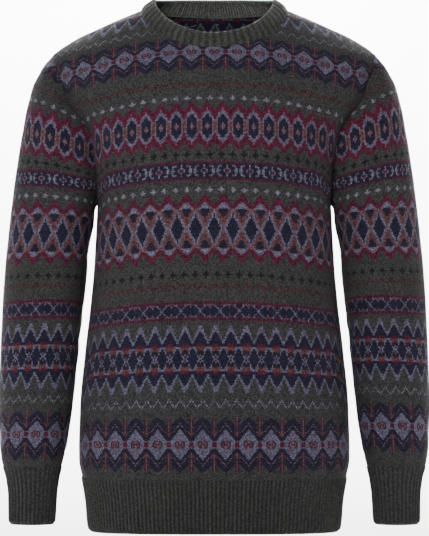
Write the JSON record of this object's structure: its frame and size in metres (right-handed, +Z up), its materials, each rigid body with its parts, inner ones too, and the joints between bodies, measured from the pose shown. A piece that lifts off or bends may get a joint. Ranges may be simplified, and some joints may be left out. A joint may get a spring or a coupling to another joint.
{
  "type": "fair isle jumper",
  "caption": "Crew-neck fair isle jumper with long set-in sleeves, hollow and filled out as worn, in banded stranded knit with ribbed neck, hem and cuffs.",
  "frame": {"origin": "middle of the neck opening, 16.5 mm below the neck ends of the shoulder seams, where the wearer's neck and shoulders hold the jumper", "axes": "+Z up, -Y the way the front faces, +X the wearer's left"},
  "size_m": [0.586, 0.2521, 0.7279],
  "materials": {
    "fair_isle_knit": "stranded wool knit, dark olive with navy, berry, lilac grey and terracotta",
    "green_rib": "ribbed wool knit, dark olive",
    "neckband_rib": "double ribbed wool knit, dark olive"
  },
  "bodies": {
    "root": {"front_panel": "fair_isle_knit", "back_panel": "fair_isle_knit", "sleeve_left_front": "fair_isle_knit", "sleeve_left_back": "fair_isle_knit", "sleeve_right_front": "fair_isle_knit", "sleeve_right_back": "fair_isle_knit", "neckband": "neckband_rib", "hem_rib_front": "green_rib", "hem_rib_back": "green_rib", "cuff_left": "green_rib", "cuff_right": "green_rib"}
  },
  "joints": []
}
